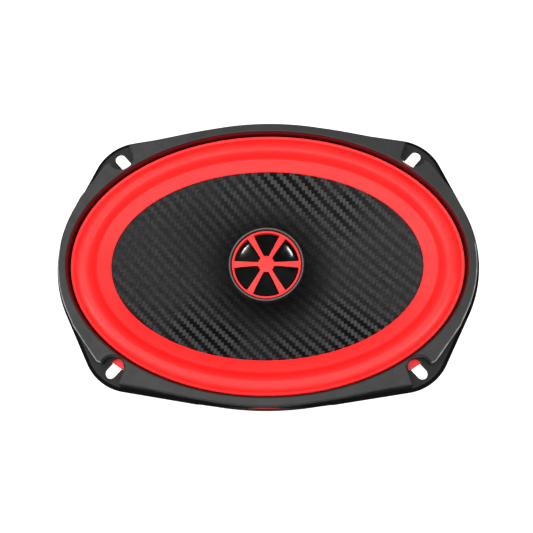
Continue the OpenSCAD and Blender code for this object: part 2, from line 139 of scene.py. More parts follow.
def loft(name, rings, closed=True):
    """A closed skin through rings of points. Open lofts get their first and last ring filled."""
    rings = np.asarray(rings, float)
    m, n, _ = rings.shape
    faces = []
    for i in range(m if closed else m - 1):
        for j in range(n):
            i2, j2 = (i + 1) % m, (j + 1) % n
            faces.append((i * n + j, i2 * n + j, i2 * n + j2, i * n + j2))
    if not closed:
        faces.append(tuple(range(n)))
        faces.append(tuple((m - 1) * n + j for j in reversed(range(n))))
    return make_object(name, rings.reshape(-1, 3), faces)


def oval_rings(profile, segments):
    """Level ovals round the Z axis. The profile is a list of (half length, half width, height)."""
    angles = np.arange(segments) * 2 * math.pi / segments
    return [
        np.stack([a * np.cos(angles), b * np.sin(angles), np.full(segments, z)], 1) for a, b, z in profile
    ]


def lathe(name, profile, segments=128):
    """A solid of revolution round the Z axis. The profile is a closed list of (radius, height)."""
    return loft(name, oval_rings([(r, r, z) for r, z in profile], segments))


def tube(name, route, radius, sides=12):
    """A smooth round wire along a route, with domed ends."""
    path = smooth_path(route, 5)
    steps = np.gradient(path, axis=0)
    rings = []
    side = None
    for p, d in zip(path, steps):
        t = unit(d)
        if side is None:
            side = unit(np.cross(t, [1, 0, 0] if abs(t[0]) < 0.8 else [0, 1, 0]))
        side = unit(side - t * np.dot(side, t))
        up = np.cross(t, side)
        ring = [
            p + radius * (math.cos(a) * side + math.sin(a) * up)
            for a in np.arange(sides) * 2 * math.pi / sides
        ]
        rings.append(ring)
    first, last = np.array(rings[0]), np.array(rings[-1])
    inset, lift = 0.6, 0.35 * radius
    rings.insert(0, path[0] + (first - path[0]) * inset - unit(steps[0]) * lift)
    rings.append(path[-1] + (last - path[-1]) * inset + unit(steps[-1]) * lift)
    return loft(name, rings, closed=False)


def prism(name, outline, bottom, top):
    """A flat outline pushed straight up."""
    n = len(outline)
    points = [(p[0], p[1], bottom) for p in outline] + [(p[0], p[1], top) for p in outline]
    faces = [(j, (j + 1) % n, n + (j + 1) % n, n + j) for j in range(n)]
    faces += [tuple(reversed(range(n))), tuple(range(n, 2 * n))]
    return make_object(name, points, faces)


def circle(x, y, r, steps):
    return [(x + r * math.cos(t), y + r * math.sin(t)) for t in np.arange(steps) * 2 * math.pi / steps]


def rectangle(x0, y0, x1, y1):
    return [(x0, y0), (x1, y0), (x1, y1), (x0, y1)]


def apply_modifiers(obj):
    graph = bpy.context.evaluated_depsgraph_get()
    mesh = bpy.data.meshes.new_from_object(obj.evaluated_get(graph))
    obj.modifiers.clear()
    old = obj.data
    obj.data = mesh
    bpy.data.meshes.remove(old)


def combine(obj, other, operation="DIFFERENCE"):
    """Cuts the other body out of this one, or joins the two, and removes the other."""
    step = obj.modifiers.new("cut", "BOOLEAN")
    step.operation = operation
    step.solver = "EXACT"
    step.object = other
    apply_modifiers(obj)
    bpy.data.objects.remove(other)


def soften(obj, width, steps=2, angle=35, merge=0.03):
    """Small rounded edges and even shading on the flats."""
    tidy_mesh(obj.data, merge * MM)
    round_edges(obj, width, steps, angle)
    apply_modifiers(obj)
    tidy_mesh(obj.data)
    even_shading(obj)


def round_edges(obj, width, steps, angle):
    edge = obj.modifiers.new("edges", "BEVEL")
    edge.width = width * MM
    edge.segments = steps
    edge.limit_method = "ANGLE"
    edge.angle_limit = math.radians(angle)


def even_shading(obj):
    shade = obj.modifiers.new("shading", "WEIGHTED_NORMAL")
    shade.weight = 60
    shade.keep_sharp = True


def mirrored(outline, sx, sy):
    """The outline with its signs changed along X, Y or both, still walked anticlockwise."""
    out = [(sx * x, sy * y) for x, y in outline]
    return out if sx == sy else out[::-1]


CORNERS = [(1, 1), (1, -1), (-1, 1), (-1, -1)]


def piece(obj, slot, node=None, body="frame"):
    """Gives a finished shape the material of its record slot, puts it on its body and hides the CAD node it
    stands for.
    """
    obj.data.materials.clear()
    obj.data.materials.append(LOOKS[slot])
    if body:
        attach(obj, body)
    if node:
        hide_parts(node)


def bend_with_cone(obj):
    """Bakes the piece's placement into its mesh."""
    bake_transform(obj)


def points_mm(obj):
    co = np.zeros(len(obj.data.vertices) * 3, np.float32)
    obj.data.vertices.foreach_get("co", co)
    return co.reshape(-1, 3).astype(float) / MM


# ---- materials

class Look:
    """One procedural material: a Principled shader and the nodes that feed it.

    Textures are placed in metres of the frame, so a scale of 1000 is one feature a millimetre.
    """

    def __init__(self, name, **sockets):
        self.mat = bpy.data.materials.new(name)
        self.mat.use_nodes = True
        self.tree = self.mat.node_tree
        self.tree.nodes.clear()
        out = self.tree.nodes.new("ShaderNodeOutputMaterial")
        self.shader = self.tree.nodes.new("ShaderNodeBsdfPrincipled")
        self.tree.links.new(self.shader.outputs[0], out.inputs[0])
        self.place = self.tree.nodes.new("ShaderNodeTexCoord").outputs["Object"]
        self.height = None
        for key, value in sockets.items():
            self.shader.inputs[key.replace("_", " ")].default_value = value

    def feed(self, socket, value):
        if hasattr(value, "is_linked"):
            self.tree.links.new(value, socket)
        else:
            socket.default_value = value

    def math(self, operation, a, b=0.0):
        node = self.tree.nodes.new("ShaderNodeMath")
        node.operation = operation
        for socket, value in zip(node.inputs, (a, b)):
            self.feed(socket, value)
        return node.outputs[0]

    def plus(self, a, b):
        return self.math("ADD", a, b)

    def minus(self, a, b):
        return self.math("SUBTRACT", a, b)

    def times(self, a, b):
        return self.math("MULTIPLY", a, b)

    def far_from(self, x, y):
        """The distance in plan from a point on Z, given by how far off it is along X and Y."""
        return self.math("SQRT", self.plus(self.times(x, x), self.times(y, y)))

    def axis(self, which):
        node = self.tree.nodes.new("ShaderNodeSeparateXYZ")
        self.feed(node.inputs[0], self.place)
        return node.outputs["XYZ".index(which)]

    def stretched(self, sx, sy, sz):
        """Places squeezed by a factor along each axis, for grain that runs one way."""
        node = self.tree.nodes.new("ShaderNodeVectorMath")
        node.operation = "MULTIPLY"
        self.feed(node.inputs[0], self.place)
        node.inputs[1].default_value = (sx, sy, sz)
        return node.outputs[0]

    def noise(self, scale, detail=3.0, roughness=0.55, place=None):
        node = self.tree.nodes.new("ShaderNodeTexNoise")
        node.inputs["Scale"].default_value = scale
        node.inputs["Detail"].default_value = detail
        node.inputs["Roughness"].default_value = roughness
        self.feed(node.inputs["Vector"], place or self.place)
        return node.outputs[0]

    def cells(self, scale):
        node = self.tree.nodes.new("ShaderNodeTexVoronoi")
        node.inputs["Scale"].default_value = scale
        self.feed(node.inputs["Vector"], self.place)
        return node.outputs["Distance"]

    def span(self, value, low, high, out_low=0.0, out_high=1.0, smooth=True):
        """The value's stretch from low to high, turned into out_low to out_high."""
        node = self.tree.nodes.new("ShaderNodeMapRange")
        node.interpolation_type = "SMOOTHSTEP" if smooth else "LINEAR"
        for socket, v in zip(node.inputs, (value, low, high, out_low, out_high)):
            self.feed(socket, v)
        return node.outputs[0]

    def scaled(self, value, *spans):
        """The value, multiplied by what span() makes of each row."""
        for row in spans:
            value = self.times(value, self.span(*row))
        return value

    def colour(self, share, first, second):
        """The base colour, mixed from two."""
        node = self.tree.nodes.new("ShaderNodeMix")
        node.data_type = "RGBA"
        for socket, value in zip((0, 6, 7), (share, (*first, 1.0), (*second, 1.0))):
            self.feed(node.inputs[socket], value)
        self.feed(self.shader.inputs["Base Color"], node.outputs[2])

    def roughness(self, share, low, high):
        self.feed(self.shader.inputs["Roughness"], self.span(share, 0.3, 0.7, low, high))

    def relief(self, height, depth):
        """Bumps of that depth in millimetres, on top of any earlier ones."""
        node = self.tree.nodes.new("ShaderNodeBump")
        node.inputs["Strength"].default_value = 1.0
        node.inputs["Distance"].default_value = depth * MM
        self.feed(node.inputs["Height"], height)
        if self.height is not None:
            self.feed(node.inputs["Normal"], self.height)
        self.height = node.outputs[0]
        self.feed(self.shader.inputs["Normal"], self.height)


def mottled(name, dark, light, tone, rough, grain, rough_noise=None, spread=0.15, **sockets):
    """A surface whose colour and roughness drift a little, under a fine grain (scale, depth).

    The tone and rough_noise are noises (scale, detail). A small spread makes the tone's patches distinct.
    """
    look = Look(name, **sockets)
    share = look.noise(*tone)
    if spread:
        share = look.span(share, 0.5 - spread, 0.5 + spread)
    look.colour(share, dark, light)
    look.roughness(look.noise(*(rough_noise or (tone[0] * 2.7, 3.0))), *rough)
    look.relief(look.noise(grain[0], 2.0), grain[1])
    return look.mat


CONE_DARK = (0.0035, 0.0033, 0.0034)
CONE_LIGHT = (0.052, 0.051, 0.051)
CONE_MIDDLE = 0.42
CONE_THREAD = 1.8
# Where the painted shade spot on the cone lies, in metres along X and Y
SHADE_SPOT = (-0.035, 0.018)


def cone_look():
    """Pressed twill: threads along X and Y, each passing over two and under two of the others.

    The two sets of threads differ in brightness as a painted sheen, most on the long sides, a little out from
    the tweeter, and least at the oval's ends. Each thread is painted darker towards its sides as shade, the
    cone is painted darker round the tweeter as its shade, and one painted shade spot lies between the tweeter
    and the far left of the rim.
    """
    look = Look("cone_twill", Specular_IOR_Level=0.05)
    x, y = look.axis("X"), look.axis("Y")
    wobble = look.times(look.minus(look.noise(260.0, 2.0), 0.5), 0.6)
    u = look.plus(look.math("DIVIDE", x, CONE_THREAD * MM), wobble)
    v = look.minus(look.math("DIVIDE", y, CONE_THREAD * MM), wobble)
    cell = look.plus(look.math("FLOOR", u), look.math("FLOOR", v))
    over = look.math("LESS_THAN", look.math("FLOORED_MODULO", cell, 4.0), 1.5)
    rounds = []
    for across in (u, v):
        off = look.minus(look.math("FRACT", across), 0.5)
        rounds.append(look.minus(1.0, look.times(look.times(off, off), 4.0)))
    crown = look.plus(look.times(over, rounds[0]), look.times(look.minus(1.0, over), rounds[1]))

    radius = look.far_from(x, y)
    # Distance from the painted shade spot
    from_shade_spot = look.far_from(look.minus(x, SHADE_SPOT[0]), look.minus(y, SHADE_SPOT[1]))
    beside = look.math("DIVIDE", look.math("ABSOLUTE", y), radius)
    slant = look.minus(look.times(x, 0.6), look.times(y, 0.8))
    # Painted sheen: how far the two sets of threads differ, more on the long sides and along a slant, less
    # near the tweeter and at the shade spot; the noise in it is random
    contrast = look.scaled(
        look.span(beside, 0.22, 0.62, 0.32, 1.0), (slant, -0.056, -0.038, 0.35, 1.0),
        (look.noise(26.0, 2.0, 0.5), 0.35, 0.6, 0.55, 1.15), (radius, 0.024, 0.05, 0.35, 1.0),
        (from_shade_spot, 0.008, 0.03, 0.5, 1.0),
    )

    fibres = look.noise(1.0, 2.0, 0.6, look.stretched(5200.0, 900.0, 900.0))
    grain = look.noise(1500.0, 2.0, 0.7)
    spots = look.noise(420.0, 1.0, 0.5)
    # Painted shade: each thread is darker towards its sides, following its round back
    tone = look.times(over, look.span(crown, 0.0, 0.8, 0.5, 1.0))
    tone = look.plus(CONE_MIDDLE, look.times(contrast, look.minus(tone, CONE_MIDDLE)))
    # Painted shade: darker round the tweeter and at the shade spot; the fibres, grain and spots are the
    # board's own tone
    tone = look.scaled(
        tone, (fibres, 0.25, 0.75, 0.8, 1.15, False), (grain, 0.25, 0.75, 0.7, 1.3, False),
        (spots, 0.3, 0.7, 0.75, 1.3, False), (radius, 0.022, 0.046, 0.45, 1.0),
        (from_shade_spot, 0.008, 0.03, 0.72, 1.0),
    )
    look.colour(tone, CONE_DARK, CONE_LIGHT)
    look.feed(look.shader.inputs["Roughness"], look.span(fibres, 0.2, 0.8, 0.42, 0.6))
    look.relief(crown, 0.09)
    look.relief(fibres, 0.015)
    return look.mat


def spider_look():
    """A plain open weave of round threads in the XY plane, stained by resin and painted darker in the hollows
    between threads as shade.
    """
    thread = 0.55
    look = Look("spider_cloth", Specular_IOR_Level=0.2, Sheen_Weight=0.15, Roughness=0.85)
    waves = [look.math("SINE", look.times(look.axis(k), math.pi / (thread * MM))) for k in "XY"]
    knots = look.times(*waves)
    stain = look.span(look.noise(60.0, 3.0), 0.3, 0.7, 0.7, 1.0)
    share = look.times(look.span(knots, -0.9, 0.9), stain)
    look.colour(share, (0.20, 0.10, 0.02), (0.66, 0.44, 0.14))
    look.relief(knots, 0.06)
    return look.mat


def winding_look():
    """Turns of copper wire, one above the other, painted darker in the grooves between them as shade."""
    pitch = 0.32
    look = Look("copper_wire", Metallic=1.0)
    turn = look.math("SINE", look.times(look.axis("Z"), 2 * math.pi / (pitch * MM)))
    look.colour(look.span(turn, -1.0, 0.6), (0.30, 0.11, 0.05), (0.70, 0.31, 0.16))
    look.roughness(look.noise(300.0), 0.25, 0.4)
    look.relief(turn, 0.05)
    return look.mat


def braid_look():
    """Fine strands that cross in two directions, painted darker between them as shade."""
    strand = 9000.0
    look = Look("tinsel_braid", Metallic=1.0)
    along = look.plus(look.axis("Y"), look.axis("Z"))
    left = look.math("SINE", look.times(look.plus(along, look.axis("X")), strand))
    right = look.math("SINE", look.times(look.minus(along, look.axis("X")), strand))
    strands = look.times(left, right)
    look.colour(look.span(strands, -0.6, 0.6), (0.30, 0.14, 0.07), (0.72, 0.42, 0.24))
    look.roughness(look.noise(800.0), 0.35, 0.5)
    look.relief(strands, 0.04)
    return look.mat


def ring_look():
    """Moulded plastic with a satin spark texture, a little uneven in tone."""
    look = Look("ring_plastic", Specular_IOR_Level=0.31)
    drift = look.span(look.noise(60.0, 4.0), 0.35, 0.65, 0.4, 1.0)
    specks = look.span(look.noise(900.0, 2.0, 0.6), 0.3, 0.7, 0.6, 1.2)
    look.colour(look.times(drift, specks), (0.003, 0.003, 0.003), (0.010, 0.0095, 0.0095))
    look.roughness(look.noise(160.0, 3.0), 0.38, 0.48)
    look.relief(look.noise(1900.0, 2.0), 0.014)
    return look.mat


def foam_look():
    look = Look("gasket_foam", Specular_IOR_Level=0.15, Roughness=0.95)
    cells = look.cells(1700.0)
    look.colour(look.span(cells, 0.1, 0.7), (0.045, 0.045, 0.045), (0.012, 0.012, 0.012))
    look.relief(cells, 0.12)
    return look.mat


def board_look():
    """Pressed fibre board, speckled along its fibres."""
    look = Look("board_fibre", Specular_IOR_Level=0.3, Roughness=0.7)
    fibres = look.noise(1.0, 4.0, 0.65, look.stretched(2600.0, 700.0, 1800.0))
    look.colour(look.span(fibres, 0.35, 0.68), (0.022, 0.012, 0.007), (0.11, 0.062, 0.032))
    look.relief(fibres, 0.02)
    return look.mat


def bezel_look():
    """Dark metallic paint, a little brighter in fine flakes."""
    look = Look("bezel_paint", Metallic=0.75, Coat_Weight=0.3, Coat_Roughness=0.15)
    flakes = look.span(look.cells(3800.0), 0.15, 0.6)
    look.colour(flakes, (0.095, 0.091, 0.091), (0.048, 0.046, 0.047))
    look.roughness(look.noise(500.0), 0.3, 0.42)
    look.relief(look.noise(2400.0, 2.0), 0.004)
    return look.mat


def floor_look():
    """A pale matte floor that is clear from below, so the speaker's back can be looked at."""
    look = Look("studio_floor", Specular_IOR_Level=0.1, Roughness=0.9, Emission_Strength=0.92)
    look.colour(look.noise(3.0, 2.0), (0.93, 0.93, 0.93), (0.96, 0.96, 0.96))
    clear = look.tree.nodes.new("ShaderNodeBsdfTransparent")
    sides = look.tree.nodes.new("ShaderNodeMixShader")
    look.feed(sides.inputs[0], look.tree.nodes.new("ShaderNodeNewGeometry").outputs["Backfacing"])
    look.feed(sides.inputs[1], look.shader.outputs[0])
    look.feed(sides.inputs[2], clear.outputs[0])
    look.feed(look.tree.nodes["Material Output"].inputs[0], sides.outputs[0])
    return look.mat


# One look for each material slot of the record
LOOKS = {
    "ring_plastic": ring_look(),
    "gasket_foam": foam_look(),
    "cone_fibre": cone_look(),
    "copper_wire": winding_look(),
    "spider_cloth": spider_look(),
    "bezel_paint": bezel_look(),
    "board_fibre": board_look(),
    "tinsel_braid": braid_look(),
    # Gloss paint over pressed steel, with a slight orange peel
    "basket_paint": mottled(
        "basket_paint", (0.85, 0.006, 0.009), (0.92, 0.010, 0.013), (50.0, 3.0), (0.28, 0.4), (420.0, 0.02),
        (200.0, 3.0), 0.2, Coat_Weight=0.12, Coat_Roughness=0.1, Specular_IOR_Level=0.2,
    ),
    "surround_rubber": mottled(
        "surround_rubber", (0.90, 0.011, 0.011), (0.96, 0.014, 0.013), (35.0, 3.0), (0.32, 0.42),
        (1500.0, 0.005), (90.0, 4.0), 0.2, Specular_IOR_Level=0.2,
    ),
}
for slot, dark, light, scale, rough, grain, specular in (
    ("former_film", (0.30, 0.15, 0.03), (0.42, 0.22, 0.05), 90.0, (0.25, 0.35), (700.0, 0.01), 0.5),
    ("ferrite", (0.022, 0.022, 0.024), (0.045, 0.045, 0.048), 200.0, (0.5, 0.7), (1200.0, 0.03), 0.5),
    ("boot_rubber", (0.012, 0.012, 0.012), (0.020, 0.020, 0.021), 70.0, (0.55, 0.72), (1300.0, 0.03), 0.4),
    ("housing_plastic", (0.009, 0.009, 0.010), (0.015, 0.015, 0.016), 80.0, (0.3, 0.42), (1800.0, 0.01), 0.5),
    ("dome_film", (0.0006, 0.0007, 0.0007), (0.0013, 0.0014, 0.0014), 90.0, (0.06, 0.1), (300.0, 0.001),
     0.015),
    ("guard_plastic", (0.90, 0.026, 0.024), (0.96, 0.034, 0.031), 90.0, (0.35, 0.45), (1500.0, 0.006), 0.2),
    ("capacitor_sleeve", (0.006, 0.014, 0.070), (0.010, 0.022, 0.095), 150.0, (0.15, 0.25), (500.0, 0.012),
     0.5),
    ("wire_jacket", (0.020, 0.020, 0.022), (0.034, 0.034, 0.036), 300.0, (0.4, 0.55), (900.0, 0.01), 0.5),
):
    LOOKS[slot] = mottled(slot, dark, light, (scale, 4.0), rough, grain, Specular_IOR_Level=specular)
for slot, dark, light, rough in (
    ("plated_steel", (0.50, 0.50, 0.50), (0.62, 0.61, 0.58), (0.28, 0.42)),
    ("post_metal", (0.42, 0.42, 0.43), (0.55, 0.55, 0.56), (0.3, 0.4)),
    ("neodymium", (0.55, 0.56, 0.58), (0.66, 0.67, 0.69), (0.12, 0.22)),
    ("blade_plating", (0.62, 0.42, 0.15), (0.80, 0.58, 0.24), (0.2, 0.32)),
    ("tinned_blade", (0.52, 0.52, 0.52), (0.66, 0.66, 0.65), (0.22, 0.36)),
    ("tinned_wire", (0.52, 0.52, 0.52), (0.70, 0.70, 0.69), (0.25, 0.4)),
):
    LOOKS[slot] = mottled(slot, dark, light, (140.0, 4.0), rough, (900.0, 0.003), (330.0, 3.0), Metallic=1.0)


# ---- mounting ring and gasket

RING_LENGTH = 235.0
RING_WIDTH = 164.0
END_ARC = (RING_LENGTH / 2 - 68.0, 0.0, 68.0)
CORNER_ARC = (73.0, 44.5, 27.5)
SIDE_ARC = (0.0, RING_WIDTH / 2 - 170.0, 170.0)
OPENING = (110.5, 74.9)
LEDGE_TOP = 5.0
FACE = 12.7
CHAMFER = (0.6, 0.5)
SLOT = (82.3, 59.3)
SLOT_LENGTH = 12.0
SLOT_WIDTH = 6.0
SLOT_ANGLE = math.radians(48)
SLOT_STRAIGHT = SLOT_LENGTH - SLOT_WIDTH
UNDERCUT = SLOT_WIDTH + 3
LEDGE_T = 1.8
NOTCH_TOP = 6.4
GASKET_T = 1.3
FLANGE = (116.6, 80.0)
FLANGE_TOP = 2.5


def tangent_angle(first, second):
    """The direction of the common outer tangent's contact point on two arcs."""
    dx, dy = second[0] - first[0], second[1] - first[1]
    return math.atan2(dy, dx) - math.acos((first[2] - second[2]) / math.hypot(dx, dy))


END_TANGENT = tangent_angle(END_ARC, CORNER_ARC)
SIDE_TANGENT = 2 * math.pi + tangent_angle(CORNER_ARC, SIDE_ARC)


def arc_points(arc, inset, start, end, steps):
    angles = np.linspace(start, end, steps + 1)
    r = arc[2] - inset
    return [(arc[0] + r * math.cos(a), arc[1] + r * math.sin(a)) for a in angles]


def ring_outline(inset):
    """The ring's outline, moved inwards by an inset, as an even walk round all four quarters."""
    end = arc_points(END_ARC, inset, 0, END_TANGENT, 16)
    corner = arc_points(CORNER_ARC, inset, END_TANGENT, SIDE_TANGENT, 18)
    side = arc_points(SIDE_ARC, inset, SIDE_TANGENT, math.pi / 2, 14)

    def between(p, q, count):
        """Evenly spaced points inside a straight stretch."""
        return [tuple(point) for point in np.linspace(p, q, count + 2)[1:-1]]

    quarter = end + between(end[-1], corner[0], 6) + corner + between(corner[-1], side[0], 16) + side
    left = [(-x, y) for x, y in reversed(quarter[:-1])]
    upper = quarter + left
    lower = [(x, -y) for x, y in reversed(upper[1:-1])]
    return np.array(upper + lower)


def oval_like(base, a, b):
    """The oval's points in the same directions as the base's."""
    base = np.asarray(base, float)
    return base / np.hypot(base[:, 0] / a, base[:, 1] / b)[:, None]


def at_z(points, z):
    points = np.asarray(points, float)
    return np.column_stack([points, np.full(len(points), z)])


def along_slot(distance):
    """The point that far from the slot's middle, along its line."""
    return SLOT[0] + distance * math.cos(SLOT_ANGLE), SLOT[1] + distance * math.sin(SLOT_ANGLE)


def half_round(centre, r, start, steps):
    return arc_points((*centre, r), 0, start, start + math.pi, steps)


def slot_outline(width):
    half = SLOT_STRAIGHT / 2
    outer = half_round(along_slot(half), width / 2, SLOT_ANGLE - math.pi / 2, 10)
    return outer + half_round(along_slot(-half), width / 2, SLOT_ANGLE + math.pi / 2, 10)


def grown(outline, amount):
    """The outline, walked anticlockwise, with each of its sides moved outwards by the amount."""
    points = np.asarray(outline, float)
    before = points - np.roll(points, 1, axis=0)
    after = np.roll(points, -1, axis=0) - points
    first, second = [
        np.column_stack([d[:, 1], -d[:, 0]]) / np.hypot(d[:, 0], d[:, 1])[:, None] for d in (before, after)
    ]
    return points + amount * (first + second) / (1 + (first * second).sum(axis=1))[:, None]


def ledge_cutter(outline):
    """Cuts the raised face away down to the ledge and leaves a chamfer along the face's edge."""
    wide = grown(outline, CHAMFER[0] * 1.2)
    rings = [
        at_z(outline, LEDGE_TOP), at_z(outline, FACE - CHAMFER[1]), at_z(wide, FACE + CHAMFER[1] * 0.2),
        at_z(wide, FACE + 2),
    ]
    return loft("cut", rings, closed=False)


def ring_rings(levels):
    """Rings that all have one point in each direction. Each level is (kind, distance, z).

    The kind is "out", the outline moved inwards by the distance; "face", the same but drawn in a little
    more near the corners; or an oval's two half sizes, which the distance makes larger.
    """
    base = ring_outline(0)
    near_corner = smoothstep((np.abs(base[:, 0]) - 35) / 35) * smoothstep((np.abs(base[:, 1]) - 45) / 15)
    rings = []
    for kind, distance, z in levels:
        if kind == "out":
            ring = ring_outline(distance)
        elif kind == "face":
            ring = ring_outline(distance)
            ring = ring + (ring_outline(distance + 1.1) - ring) * near_corner[:, None]
        else:
            ring = oval_like(base, kind[0] + distance, kind[1] + distance)
        rings.append(at_z(ring, z))
    return rings


def mounting_ring():
    a, b = OPENING
    wall = (a - 0.7, b - 0.6)
    shelf = (a - 4, b - 3.9)
    draft, edge = 2.4, 0.6
    levels = [
        ("out", 0.9, GASKET_T), ("out", 0.6, GASKET_T + 0.3), ("out", 0.0, LEDGE_TOP - 1.3),
        ("out", 0.3, LEDGE_TOP - 0.85), ("out", 1.2, LEDGE_TOP - 0.35), ("out", 2.1, LEDGE_TOP),
        ("face", draft, FACE - edge), ("face", draft + 0.1, FACE - 0.34), ("face", draft + 0.3, FACE - 0.1),
        ("face", draft + edge, FACE), (OPENING, 0.7, FACE), (OPENING, 0.3, FACE - 0.1),
        (OPENING, 0.1, FACE - 0.3), (OPENING, 0.0, FACE - 0.7), (wall, 0.02, LEDGE_TOP + 0.3),
        (wall, -0.25, LEDGE_TOP), (shelf, 0.3, LEDGE_TOP), (shelf, 0.0, LEDGE_TOP - 0.3),
        (shelf, 0.0, FLANGE_TOP), (FLANGE, 0.2, FLANGE_TOP), (FLANGE, 0.2, GASKET_T),
    ]
    ring = loft("mounting_ring_moulding", ring_rings(levels))

    # Each ledge is cut along straight lines, placed from its slot's middle, with a round pocket there
    lines = [(38, -30.7), (30, 26), (-2, 26), (-3.9, 8.7), (-6.8, -0.8), (0, 0), (8.6, -3.5), (28.2, -30.7)]
    corner = [(SLOT[0] + dx, SLOT[1] + dy) for dx, dy in lines]
    pocket = circle(*SLOT, 6.5, 40)
    # The slot's inner end widens into a half round whose flat side lies over the flange's edge
    head_r, head_in = 4.1, 2.2
    flange_edge = SLOT_ANGLE + math.radians(9) + math.pi / 2
    head = half_round(along_slot(-head_in), head_r, flange_edge, 20)
    slot, undercut = slot_outline(SLOT_WIDTH), slot_outline(UNDERCUT)
    for signs in CORNERS:
        combine(ring, ledge_cutter(mirrored(corner, *signs)))
        combine(ring, ledge_cutter(mirrored(pocket, *signs)))
        combine(ring, prism("cut", mirrored(slot, *signs), -1, LEDGE_TOP + 1))
        combine(ring, prism("cut", mirrored(undercut, *signs), -1, LEDGE_TOP - LEDGE_T))
        combine(ring, prism("cut", mirrored(head, *signs), -1, LEDGE_TOP + 1))
    half_notch = [(20, 79.8), (24, 79.6), (36, 78.1), (36, 90)]
    notch = half_notch + [(-x, y) for x, y in reversed(half_notch)]
    for sy in (1, -1):
        combine(ring, prism("cut", mirrored(notch, 1, sy), -1, NOTCH_TOP))
    soften(ring, 0.35, 2, 40)
    piece(ring, "ring_plastic", "mounting_ring")
    finish_ring_faces(ring)


def finish_ring_faces(ring):
    """Shades level faces flat, and gives parts of the ring copies of the plastic with painted shade, a
    painted highlight or a painted reflection.
    """
    side, edge, ledge, wall = 1, 2, 3, 4
    for name, specular, dark, light, tone_scale, spread, rough, rough_scale, grain in (
        # Painted shade: the outer walls, and the ledge strips beside them, are dead black, with a deep
        # texture
        ("side", 0.03, (0.0015, 0.0015, 0.0015), (0.0045, 0.0045, 0.0045), 300.0, None, (0.6, 0.8), 160.0,
         (1400.0, 0.03)),
        # Painted highlight: the outer edge of the ends is pale, smooth and glossy
        ("edge", 0.6, (0.13, 0.13, 0.13), (0.24, 0.24, 0.24), 220.0, 0.15, (0.25, 0.35), 260.0,
         (1900.0, 0.004)),
        # Painted shade: the screw ledges lie deeper, and this copy of the plastic shines less, so they look
        # darker
        ("ledge", 0.1, (0.009, 0.009, 0.0085), (0.019, 0.0185, 0.0175), 260.0, None, (0.4, 0.5), 160.0,
         (1900.0, 0.014)),
        # The wall round the opening is polished, so it mirrors the red roll; its dark base colour is tinted
        # red too, a painted reflection of the roll
        ("wall", 0.4, (0.005, 0.003, 0.003), (0.012, 0.007, 0.007), 300.0, None, (0.16, 0.24), 160.0,
         (1900.0, 0.002)),
    ):
        ring.data.materials.append(mottled(
            f"ring_{name}_plastic", dark, light, (tone_scale, 3.0), rough, grain, (rough_scale, 3.0), spread,
            Specular_IOR_Level=specular,
        ))
    outline = ring_outline(0)
    rim = FACE - 0.9
    for face in ring.data.polygons:
        x, y, z = face.center / MM
        slope = face.normal.z
        level = slope > 0.999
        from_outline = np.hypot(outline[:, 0] - x, outline[:, 1] - y).min()
        from_opening = math.hypot(x / OPENING[0], y / OPENING[1])
        on_highlit_end = abs(x) > 89.5 and y < 10 and from_opening > 1.016
        # The masks below place the painted shade on ledges and outer walls, the painted reflection on the
        # opening's wall and the painted highlight on the ends' outer edge
        if level:
            face.use_smooth = False
        if level and abs(z - LEDGE_TOP) < 0.1:
            face.material_index = ledge
        elif from_outline < 4.5 and slope < 0.97 and z < rim:
            face.material_index = side
        elif from_opening < 1.005 and z > LEDGE_TOP and abs(slope) < 0.5:
            face.material_index = wall
        elif on_highlit_end and 0.2 < slope < 0.97 and z > rim:
            face.material_index = edge


def mounting_gasket():
    top = GASKET_T - 0.02
    inner = (FLANGE[0] - 11.6, FLANGE[1] - 10.6)
    levels = [
        ("out", 0.9, 0.0), ("out", 0.7, 0.2), ("out", 0.7, top),
        (inner, 0.0, top), (inner, 0.0, 0.2), (inner, 0.2, 0.0),
    ]
    gasket = loft("mounting_gasket_foam", ring_rings(levels))
    for signs in CORNERS:
        combine(gasket, prism("cut", mirrored(slot_outline(UNDERCUT), *signs), -1, 3))
    even_shading(gasket)
    piece(gasket, "gasket_foam", "mounting_gasket")


# ---- basket

SHELF_Z = -34.0
SEAT_Z = -47.0
SHEET = 1.2
LEGS = [0, 52, 128, 180, 232, 308]
LEG_WIDTH = 20.0
WINDOW = (SHELF_Z + 1.6, -9.0)


